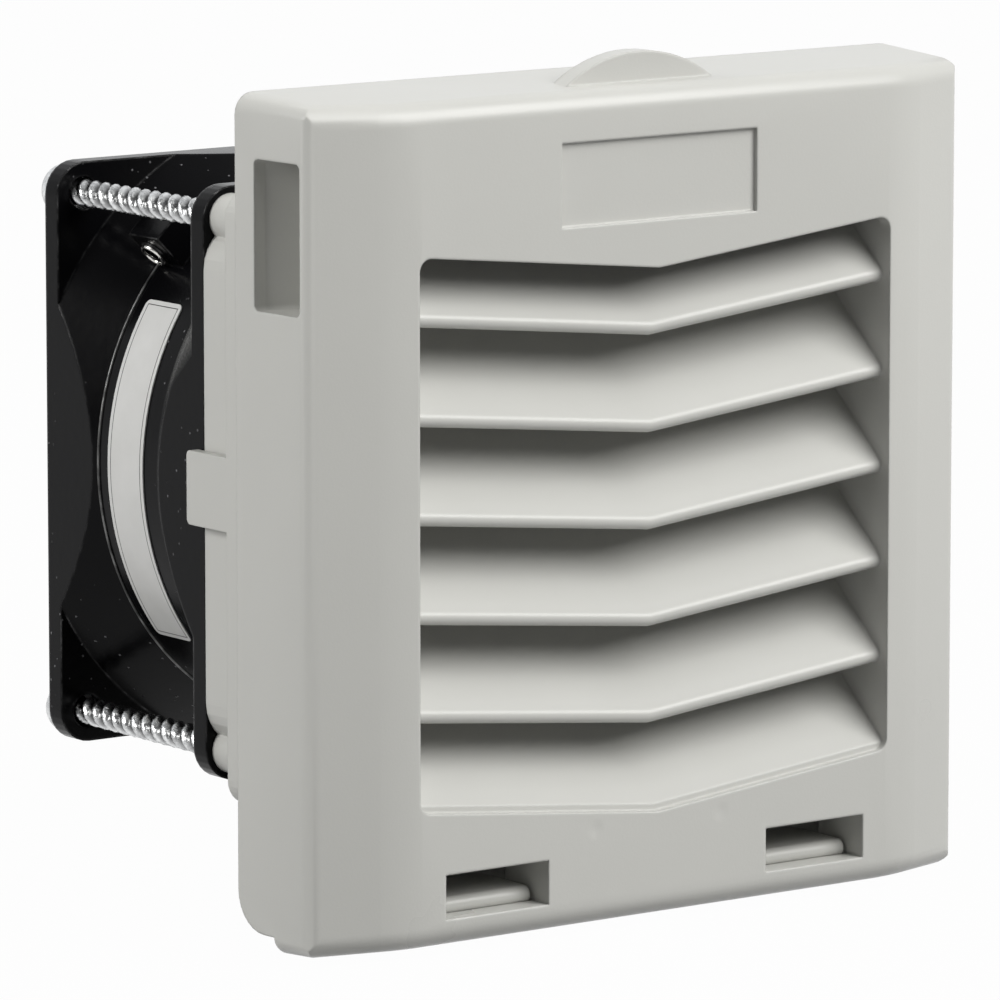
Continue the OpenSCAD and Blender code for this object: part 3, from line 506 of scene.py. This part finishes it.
# The die seam: a fine ring round the barrel, where the two halves of the casting die met.
# It stands proud of the paint, so handling has rubbed it bright in patches.
seam_out, seam_y, seam_bead = 0.03954, 0.0541, 0.00024
seam_steps, bead_steps = 160, 8
rubbed_metal, tree, skin = plain_material("rubbed_metal")
skin["Roughness"].default_value = 0.35
place = put(tree, "ShaderNodeTexCoord")["Object"]
rubs = put(tree, "ShaderNodeTexNoise", {"Vector": place, "Scale": 350, "Detail": 4})[0]
bare = put(tree, "ShaderNodeMapRange", {"Value": rubs, "From Min": 0.38, "From Max": 0.58})[0]
tree.links.new(bare, skin["Metallic"])
tree.links.new(ramp(tree, bare, (0.004, 0.004, 0.004), (0.15, 0.15, 0.148)), skin["Base Color"])
shape = bmesh.new()
bmesh.ops.create_circle(
    shape, segments=bead_steps, radius=seam_bead, matrix=Matrix.Translation((seam_out, seam_y, 0)))
bmesh.ops.spin(shape, geom=shape.verts[:] + shape.edges[:], cent=(0, 0, 0), axis=(0, 1, 0),
               angle=math.tau, steps=seam_steps, use_merge=True)
bmesh.ops.remove_doubles(shape, verts=shape.verts[:], dist=0.000001)
for face in shape.faces:
    face.smooth = True
bmesh.ops.recalc_face_normals(shape, faces=shape.faces[:])
die_seam = piece_of("die_seam", shape)
die_seam.data.materials.append(rubbed_metal)
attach(die_seam, "housing")

# Four long screws with a coarse two-start thread, in zinc-plated steel, cold-headed and rolled.
# They pass through both flanges of the fan and bite into the base's bosses.
hole_out = 0.03575
screw_tip, screw_seat = 0.018, 0.066
thread_core, thread_depth, thread_pitch = 0.00120, 0.00072, 0.0024
thread_starts, tip_taper, tip_share = 2, 0.003, 0.3
head_radius, head_height, head_roll = 0.0037, 0.0026, 0.3
cross_long, cross_wide, cross_deep = 0.0034, 0.0008, 0.0026
zinc_plate, tree, skin = plain_material("zinc_plate")
skin["Metallic"].default_value = 1.0
place = put(tree, "ShaderNodeTexCoord")["Object"]
cloud = put(tree, "ShaderNodeTexNoise", {"Vector": place, "Scale": 900, "Detail": 4})[0]
shade = ramp(tree, cloud, (0.45, 0.455, 0.46), (0.82, 0.83, 0.835), 0.35, 0.65)
# painted shade darkens the roots of the thread
parts = put(tree, "ShaderNodeSeparateXYZ", {0: place})
aside, above = (sums(tree, "SUBTRACT", sums(tree, "ABSOLUTE", parts[axis]), hole_out) for axis in (0, 2))
out_of_root_shade = put(tree, "ShaderNodeMapRange", {
    "Value": apart(tree, aside, above), "From Min": thread_core, "From Max": 0.00175})[0]
tree.links.new(blend(tree, out_of_root_shade, (0.03, 0.03, 0.03, 1), shade), skin["Base Color"])
tree.links.new(put(tree, "ShaderNodeMapRange", {
    "Value": cloud, "To Min": 0.20, "To Max": 0.34})[0], skin["Roughness"])
tree.links.new(put(tree, "ShaderNodeBump", {
    "Strength": 0.8, "Distance": 0.00026, "Height": cloud})[0], skin["Normal"])

long_screws, given, result = geometry_tree(
    "long_screws",
    {"Core Radius": thread_core, "Thread Depth": thread_depth, "Pitch": thread_pitch,
     "Shank": screw_seat - screw_tip, "Head Radius": head_radius, "Head Height": head_height,
     "Hole Spacing": 2 * hole_out, "Seat": screw_seat}, "Screws")
bar = put(long_screws, "GeometryNodeMeshCylinder", {
    "Vertices": 20, "Side Segments": 220, "Radius": 1.0, "Depth": given["Shank"]},
    fill_type="NGON")["Mesh"]
spot = put(long_screws, "GeometryNodeInputPosition")[0]
parts = put(long_screws, "ShaderNodeSeparateXYZ", {0: spot})
around = sums(long_screws, "DIVIDE", sums(
    long_screws, "ARCTAN2", parts[1], parts[0]), math.tau / thread_starts)
along = sums(long_screws, "SUBTRACT", sums(long_screws, "DIVIDE", parts[2], given["Pitch"]), around)
bead = sums(long_screws, "MULTIPLY_ADD", sums(
    long_screws, "COSINE", sums(long_screws, "MULTIPLY", along, math.tau)), 0.5, 0.5)
girth = sums(long_screws, "MULTIPLY_ADD", bead, given["Thread Depth"], given["Core Radius"])
depth = sums(long_screws, "ADD", parts[2], sums(long_screws, "MULTIPLY", given["Shank"], 0.5))
girth = sums(long_screws, "MULTIPLY", girth, put(long_screws, "ShaderNodeMapRange", {
    "Value": depth, "From Max": tip_taper, "To Min": tip_share})[0])
bar = put(long_screws, "GeometryNodeSetPosition", {
    "Geometry": bar, "Position": put(long_screws, "ShaderNodeCombineXYZ", {
        0: sums(long_screws, "MULTIPLY", parts[0], girth),
        1: sums(long_screws, "MULTIPLY", parts[1], girth), 2: parts[2]})[0]})[0]
bar = put(long_screws, "GeometryNodeTransform", {
    "Geometry": bar, "Translation": put(long_screws, "ShaderNodeCombineXYZ", {
        2: sums(long_screws, "MULTIPLY", given["Shank"], -0.5)})[0]})[0]
puck = put(long_screws, "GeometryNodeMeshCylinder", {
    "Vertices": 32, "Side Segments": 8, "Radius": 1.0, "Depth": 1.0}, fill_type="NGON")["Mesh"]
# the head rolls over from its rim to a flat middle, which carries the cross
rise = sums(long_screws, "ADD", parts[2], 0.5)
reach = sums(long_screws, "MULTIPLY", given["Head Radius"], sums(long_screws, "SQRT", sums(
    long_screws, "SUBTRACT", 1.0, sums(long_screws, "MULTIPLY", sums(
        long_screws, "POWER", rise, 4.0), head_roll))))
head = put(long_screws, "GeometryNodeSetPosition", {
    "Geometry": puck, "Position": put(long_screws, "ShaderNodeCombineXYZ", {
        0: sums(long_screws, "MULTIPLY", parts[0], reach),
        1: sums(long_screws, "MULTIPLY", parts[1], reach),
        2: sums(long_screws, "MULTIPLY", rise, given["Head Height"])})[0]})[0]
crossed = put(long_screws, "GeometryNodeMeshBoolean", {
    "Mesh 1": head, "Self Intersection": True}, operation="DIFFERENCE", solver="EXACT")[0]
for wide, high in ((cross_long, cross_wide), (cross_wide, cross_long)):
    bit = put(long_screws, "GeometryNodeMeshCube", {"Size": (wide, high, cross_deep)})[0]
    long_screws.links.new(put(long_screws, "GeometryNodeTransform", {
        "Geometry": bit, "Translation": put(long_screws, "ShaderNodeCombineXYZ", {
            2: given["Head Height"]})[0]})[0], crossed.node.inputs["Mesh 2"])
screw = put(long_screws, "GeometryNodeJoinGeometry")[0]
rolled = put(long_screws, "GeometryNodeSetShadeSmooth", {"Geometry": bar})[0]
long_screws.links.new(rolled, screw.node.inputs[0])
long_screws.links.new(crossed, screw.node.inputs[0])
screw = put(long_screws, "GeometryNodeTransform", {
    "Geometry": screw, "Rotation": (-math.pi / 2, 0, 0)})[0]
square = put(long_screws, "GeometryNodeMeshGrid", {
    "Size X": given["Hole Spacing"], "Size Y": given["Hole Spacing"],
    "Vertices X": 2, "Vertices Y": 2})["Mesh"]
square = put(long_screws, "GeometryNodeTransform", {
    "Geometry": square, "Rotation": (math.pi / 2, 0, 0),
    "Translation": put(long_screws, "ShaderNodeCombineXYZ", {1: given["Seat"]})[0]})[0]
four = put(long_screws, "GeometryNodeInstanceOnPoints", {"Points": square, "Instance": screw})[0]
four = put(long_screws, "GeometryNodeRealizeInstances", {"Geometry": four})[0]
long_screws.links.new(put(long_screws, "GeometryNodeSetMaterial", {
    "Geometry": four, "Material": zinc_plate})[0], result["Screws"])
rolled_screws = grow("rolled_screws", long_screws, {
    "Shank": screw_seat - screw_tip, "Hole Spacing": 2 * hole_out, "Seat": screw_seat})
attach(rolled_screws, "housing")
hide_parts("fan_screws")

# The label strip: white film with round corners, bent round the barrel and stuck down.
# It is blank but for a thin printed rule just inside its edge.
strip_r, strip_start, strip_end = 0.0395, 143, 214
strip_low, strip_high = 0.0433, 0.0517
strip_corner, round_steps, columns = 0.0009, 6, 72
film_top, film_under = 0.00018, -0.00002
rule_in, rule_half = 0.0007, 0.00007
length = math.radians(strip_end - strip_start) * strip_r
width = strip_high - strip_low
shape = bmesh.new()
across = shape.loops.layers.uv.new("strip")


def strip_point(u, v, lift):
    angle = math.radians(strip_start) + u / strip_r
    return ((strip_r + lift) * math.cos(angle), strip_low + v, -(strip_r + lift) * math.sin(angle))


ends = [strip_corner * (1 - math.cos(math.pi / 2 * k / round_steps)) for k in range(round_steps + 1)]
places = ends + [strip_corner + (length - 2 * strip_corner) * k / columns for k in range(1, columns)]
places += [length - end for end in reversed(ends)]
upper, lower = [], []
for u in places:
    near = min(u, length - u)
    cut = 0.0
    if near < strip_corner:
        cut = strip_corner - math.sqrt(max(strip_corner ** 2 - (strip_corner - near) ** 2, 0))
    upper.append([shape.verts.new(strip_point(u, v, film_top)) for v in (cut, width - cut)])
    lower.append([shape.verts.new(strip_point(u, v, film_under)) for v in (cut, width - cut)])
for k in range(len(places) - 1):
    for quad in ((upper[k][0], upper[k + 1][0], upper[k + 1][1], upper[k][1]),
                 (lower[k][1], lower[k + 1][1], lower[k + 1][0], lower[k][0]),
                 (upper[k][0], lower[k][0], lower[k + 1][0], upper[k + 1][0]),
                 (upper[k][1], upper[k + 1][1], lower[k + 1][1], lower[k][1])):
        shape.faces.new(quad)
shape.faces.new((upper[0][0], upper[0][1], lower[0][1], lower[0][0]))
shape.faces.new((upper[-1][1], upper[-1][0], lower[-1][0], lower[-1][1]))
for face in shape.faces:
    for loop in face.loops:
        spot = loop.vert.co
        turn = (math.atan2(-spot.z, spot.x) - math.radians(strip_start)) % math.tau
        loop[across].uv = (turn * strip_r, spot.y - strip_low)
bmesh.ops.recalc_face_normals(shape, faces=shape.faces[:])
blank_strip = piece_of("blank_strip", shape)
film, tree, skin = plain_material("white_film")
skin["Roughness"].default_value = 0.35
where = put(tree, "ShaderNodeSeparateXYZ", {0: put(tree, "ShaderNodeUVMap", uv_map="strip")[0]})
inside = sums(tree, "MINIMUM",
              sums(tree, "MINIMUM", where[0], sums(tree, "SUBTRACT", length, where[0])),
              sums(tree, "MINIMUM", where[1], sums(tree, "SUBTRACT", width, where[1])))
rule = sums(tree, "COMPARE", inside, rule_in, rule_half)
yellowed = put(tree, "ShaderNodeTexNoise", {
    "Vector": put(tree, "ShaderNodeTexCoord")["Object"], "Scale": 220, "Detail": 4})[0]
shade = ramp(tree, yellowed, (0.60, 0.60, 0.585), (0.72, 0.72, 0.71))
tree.links.new(blend(tree, rule, shade, (0.03, 0.03, 0.032, 1)), skin["Base Color"])
tree.links.new(put(tree, "ShaderNodeBump", {
    "Strength": 0.15, "Distance": 0.00005, "Height": yellowed})[0], skin["Normal"])
blank_strip.data.materials.append(film)
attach(blank_strip, "housing")
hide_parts("rating_strip")

# The terminal block: a small cream moulding on the barrel's lower right corner, seen from the front.
# Two stamped brass tabs stand in it for the supply's push-on sockets.
terminal_plastic = moulded_plastic(
    "terminal_plastic", tone=(0.55, 0.53, 0.44), roughness=0.5, grain_size=0.0003,
    edge_radius=0.0003, rubbed_highlight_tone=(0.62, 0.60, 0.52))
dress("terminal_block", terminal_plastic)

# Turned or drawn metal: fine lines round the fan's axis, and a cloudy tone
drawn_metal, given, result = effect(
    "drawn_metal",
    [("Tone", "Color", (0.5, 0.5, 0.5, 1)), ("Lines", "Float", 900.0), ("Roughness", "Float", 0.3)],
    [("Colour", "Color"), ("Roughness", "Float"), ("Height", "Float")])
place = put(drawn_metal, "ShaderNodeTexCoord")["Object"]
parts = put(drawn_metal, "ShaderNodeSeparateXYZ", {0: place})
rings = put(drawn_metal, "ShaderNodeTexNoise", {
    "Vector": put(drawn_metal, "ShaderNodeCombineXYZ", {
        0: sums(drawn_metal, "MULTIPLY", apart(drawn_metal, parts[0], parts[2]), given["Lines"]),
        1: sums(drawn_metal, "MULTIPLY", parts[1], given["Lines"])})[0],
    "Scale": 3.0, "Detail": 3})[0]
cloud = put(drawn_metal, "ShaderNodeTexNoise", {"Vector": place, "Scale": 120, "Detail": 4})[0]
mixed = sums(drawn_metal, "ADD", sums(drawn_metal, "MULTIPLY", rings, 0.25), sums(
    drawn_metal, "MULTIPLY_ADD", cloud, 0.2, 0.78))
drawn_metal.links.new(put(drawn_metal, "ShaderNodeVectorMath", {
    0: given["Tone"], "Scale": mixed}, operation="SCALE")[0], result["Colour"])
drawn_metal.links.new(sums(drawn_metal, "MULTIPLY_ADD", sums(
    drawn_metal, "SUBTRACT", cloud, 0.5), 0.3, given["Roughness"]), result["Roughness"])
drawn_metal.links.new(rings, result["Height"])


def metal(name, tone, roughness, lines=900.0):
    made, tree, skin = plain_material(name)
    skin["Metallic"].default_value = 1.0
    drawn = put(tree, "ShaderNodeGroup", {
        "Tone": (*tone, 1), "Lines": lines, "Roughness": roughness}, node_tree=drawn_metal)
    tree.links.new(drawn["Colour"], skin["Base Color"])
    tree.links.new(drawn["Roughness"], skin["Roughness"])
    rounded = put(tree, "ShaderNodeBevel", {"Radius": 0.0002}, samples=4)[0]
    tree.links.new(put(tree, "ShaderNodeBump", {
        "Strength": 0.2, "Distance": 0.00004, "Height": drawn["Height"], "Normal": rounded})[0],
        skin["Normal"])
    return made


dress("terminal_tabs", metal("tab_brass", tone=(0.78, 0.60, 0.30), roughness=0.28))

# The earth eyelet: a ring of thin steel, plated bright.
# It is pressed over the rim of the hole in the frame's earth lug.
eyelet_r, eyelet_bead = 0.0017, 0.00034
eyelet_steps, roll_steps = 32, 12
lug_turn = Matrix.Rotation(math.radians(-135), 4, "Y")
lug_hole = Matrix.Translation((0.0418, 0.0528, 0.00236))
shape = bmesh.new()
rows = []
for i in range(eyelet_steps):
    turn = math.tau * i / eyelet_steps
    row = []
    for k in range(roll_steps):
        roll = math.tau * k / roll_steps
        reach = eyelet_r + eyelet_bead * math.cos(roll)
        row.append(shape.verts.new((
            reach * math.cos(turn), reach * math.sin(turn), eyelet_bead * math.sin(roll))))
    rows.append(row)
for i in range(eyelet_steps):
    row, after = rows[i], rows[(i + 1) % eyelet_steps]
    for k in range(roll_steps):
        beside = (k + 1) % roll_steps
        shape.faces.new((row[k], after[k], after[beside], row[beside])).smooth = True
bmesh.ops.recalc_face_normals(shape, faces=shape.faces[:])
shape.transform(lug_turn @ lug_hole)
earth_eyelet = piece_of("earth_eyelet", shape)
earth_eyelet.data.materials.append(metal("eyelet_steel", tone=(0.72, 0.71, 0.68), roughness=0.18))
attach(earth_eyelet, "housing")

# The impeller: a black glass-filled moulding, five twisted blades on a hub pressed over the rotor cup.
# Each blade is thick at its root and thins to a rounded tip.
hub_out, hub_in, hub_front, hub_rear, hub_round = 0.020, 0.0187, 0.036, 0.060, 0.0005
blade_count, blade_tip, root_sink = 5, 0.0369, 0.0005
root_pitch, pitch_loss = 42, 15
tip_chord, root_share = 0.026, 0.86
root_thick, thinning, camber_share = 0.0018, 0.35, 0.09
steps, spans = 20, 14
glass_filled = moulded_plastic(
    "glass_filled", tone=(0.012, 0.012, 0.013), roughness=0.42, grain_size=0.0005,
    edge_radius=0.0003, rubbed_highlight_tone=(0.05, 0.05, 0.05))
shape = bmesh.new()
rings = []
for k in range(spans + 1):
    t = k / spans
    reach = hub_out - root_sink + t * (blade_tip - hub_out + root_sink)
    pitch = math.radians(root_pitch - pitch_loss * t)
    chord = tip_chord * (root_share + (1 - root_share) * t)
    thick = root_thick * (1 - thinning * t)
    outline = []
    for side in (1, -1):
        for i in range(steps + 1):
            if side == -1 and i in (0, steps):
                continue
            s = -0.5 * math.cos(math.pi * (i if side == 1 else steps - i) / steps)
            camber = camber_share * chord * (1 - 4 * s * s)
            bulge = side * thick / 2 * math.sqrt(max(0.0, 1 - 4 * s * s))
            x, y = s * chord, camber + bulge
            along = x * math.cos(pitch) - y * math.sin(pitch)
            rise = x * math.sin(pitch) + y * math.cos(pitch)
            outline.append(shape.verts.new((
                reach * math.sin(along / reach), rise, reach * math.cos(along / reach))))
    rings.append(outline)
for ring, after in zip(rings, rings[1:]):
    for i in range(len(ring)):
        beside = (i + 1) % len(ring)
        shape.faces.new((ring[i], ring[beside], after[beside], after[i])).smooth = True
for ring in (rings[0], rings[-1]):
    shape.faces.new(ring)
bmesh.ops.recalc_face_normals(shape, faces=shape.faces[:])
bmesh.ops.triangulate(shape, faces=[face for face in shape.faces if len(face.verts) > 4])
blade = piece_of("blade", shape)

blade_ring, given, result = geometry_tree(
    "blade_ring",
    {"Blades": blade_count, "Middle": (hub_front + hub_rear) / 2, "Hub Radius": hub_out,
     "Hub Bore": hub_in, "Hub Length": hub_rear - hub_front, "Hub Round": hub_round}, "Impeller")
shaped = put(blade_ring, "GeometryNodeObjectInfo", {"Object": blade})["Geometry"]
spots = put(blade_ring, "GeometryNodePoints", {"Count": given["Blades"], "Position": put(
    blade_ring, "ShaderNodeCombineXYZ", {1: given["Middle"]})[0]})[0]
index = put(blade_ring, "GeometryNodeInputIndex")[0]
step = sums(blade_ring, "DIVIDE", math.tau, given["Blades"])
five = put(blade_ring, "GeometryNodeInstanceOnPoints", {
    "Points": spots, "Instance": shaped, "Rotation": put(blade_ring, "ShaderNodeCombineXYZ", {
        1: sums(blade_ring, "MULTIPLY", index, step)})[0]})[0]
five = put(blade_ring, "GeometryNodeRealizeInstances", {"Geometry": five})[0]
wall_mid = sums(blade_ring, "MULTIPLY", sums(
    blade_ring, "ADD", given["Hub Radius"], given["Hub Bore"]), 0.5)
wall = put(blade_ring, "GeometryNodeCurvePrimitiveQuadrilateral", {
    "Width": sums(blade_ring, "SUBTRACT", given["Hub Radius"], given["Hub Bore"]),
    "Height": given["Hub Length"]})[0]
wall = put(blade_ring, "GeometryNodeFilletCurve", {
    "Curve": wall, "Radius": given["Hub Round"], "Count": 4, "Limit Radius": True}, mode="POLY")[0]
path = put(blade_ring, "GeometryNodeCurvePrimitiveCircle", {"Resolution": 96, "Radius": wall_mid})[0]
tube = put(blade_ring, "GeometryNodeCurveToMesh", {"Curve": path, "Profile Curve": wall})[0]
tube = put(blade_ring, "GeometryNodeTransform", {
    "Geometry": tube, "Rotation": (-math.pi / 2, 0, 0),
    "Translation": put(blade_ring, "ShaderNodeCombineXYZ", {1: given["Middle"]})[0]})[0]
whole = put(blade_ring, "GeometryNodeJoinGeometry")[0]
blade_ring.links.new(five, whole.node.inputs[0])
blade_ring.links.new(tube, whole.node.inputs[0])
blade_ring.links.new(put(blade_ring, "GeometryNodeSetMaterial", {
    "Geometry": whole, "Material": glass_filled})[0], result["Impeller"])
moulded_impeller = grow("moulded_impeller", blade_ring, {
    "Blades": blade_count, "Middle": (hub_front + hub_rear) / 2, "Hub Radius": hub_out,
    "Hub Bore": hub_in, "Hub Length": hub_rear - hub_front})
bpy.data.objects.remove(blade)
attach(moulded_impeller, "rotor")
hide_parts("impeller")

# The motor: a drawn steel cup with a cast cage ring turns round a wound core on a brass tube.
# Two ball bearings in the tube carry the ground shaft, held by a washer and a spring clip.
dress("rotor_cup", metal("cup_steel", tone=(0.40, 0.41, 0.42), roughness=0.34))
dress("cage_ring", metal("cage_aluminium", tone=(0.70, 0.71, 0.72), roughness=0.45))
ground_steel = metal("ground_steel", tone=(0.62, 0.62, 0.61), roughness=0.16, lines=1400.0)
for node in ("shaft", "front_bearing", "rear_bearing"):
    dress(node, ground_steel)
dress("retaining_clip", metal("spring_steel", tone=(0.20, 0.19, 0.18), roughness=0.3))
dress("bearing_tube", metal("tube_brass", tone=(0.72, 0.52, 0.24), roughness=0.3))
dress("thrust_washer", moulded_plastic(
    "washer_plastic", tone=(0.62, 0.58, 0.46), roughness=0.4, grain_size=0.0003,
    edge_radius=0.0001, rubbed_highlight_tone=(0.66, 0.62, 0.52)))

# The stator: a stack of thin steel sheets pressed on the tube, and coils of enamelled copper wire.
# The stack shows the edges of its sheets, and each coil shows its turns.
sheets_per_metre, wire_waves = 2000.0, 9000.0
core_steel, tree, skin = plain_material("core_steel")
skin["Metallic"].default_value = 1.0
place = put(tree, "ShaderNodeTexCoord")["Object"]
depth = put(tree, "ShaderNodeSeparateXYZ", {0: place})[1]
sheets = sums(tree, "FRACT", sums(tree, "MULTIPLY", depth, sheets_per_metre))
tree.links.new(ramp(tree, sheets, (0.10, 0.10, 0.11), (0.34, 0.35, 0.37), 0.0, 0.3), skin["Base Color"])
tree.links.new(put(tree, "ShaderNodeMapRange", {
    "Value": put(tree, "ShaderNodeTexNoise", {"Vector": place, "Scale": 300})[0],
    "To Min": 0.35, "To Max": 0.6})[0], skin["Roughness"])
tree.links.new(put(tree, "ShaderNodeBump", {
    "Strength": 0.4, "Distance": 0.0001, "Height": sheets})[0], skin["Normal"])
dress("stator_core", core_steel)

coil_copper, tree, skin = plain_material("coil_copper")
skin["Metallic"].default_value = 1.0
skin["Coat Weight"].default_value = 0.4
place = put(tree, "ShaderNodeTexCoord")["Object"]
parts = put(tree, "ShaderNodeSeparateXYZ", {0: place})
outward = apart(tree, parts[0], parts[2])
turns = sums(tree, "ABSOLUTE", sums(tree, "SINE", sums(
    tree, "MULTIPLY", sums(tree, "ADD", outward, parts[1]), wire_waves)))
# the grooves between turns are painted darker, as shade
tree.links.new(ramp(tree, turns, (0.16, 0.05, 0.02), (0.62, 0.26, 0.11)), skin["Base Color"])
tree.links.new(put(tree, "ShaderNodeMapRange", {
    "Value": turns, "To Min": 0.5, "To Max": 0.26})[0], skin["Roughness"])
tree.links.new(put(tree, "ShaderNodeBump", {
    "Strength": 0.7, "Distance": 0.00015, "Height": turns})[0], skin["Normal"])
dress("stator_coils", coil_copper)
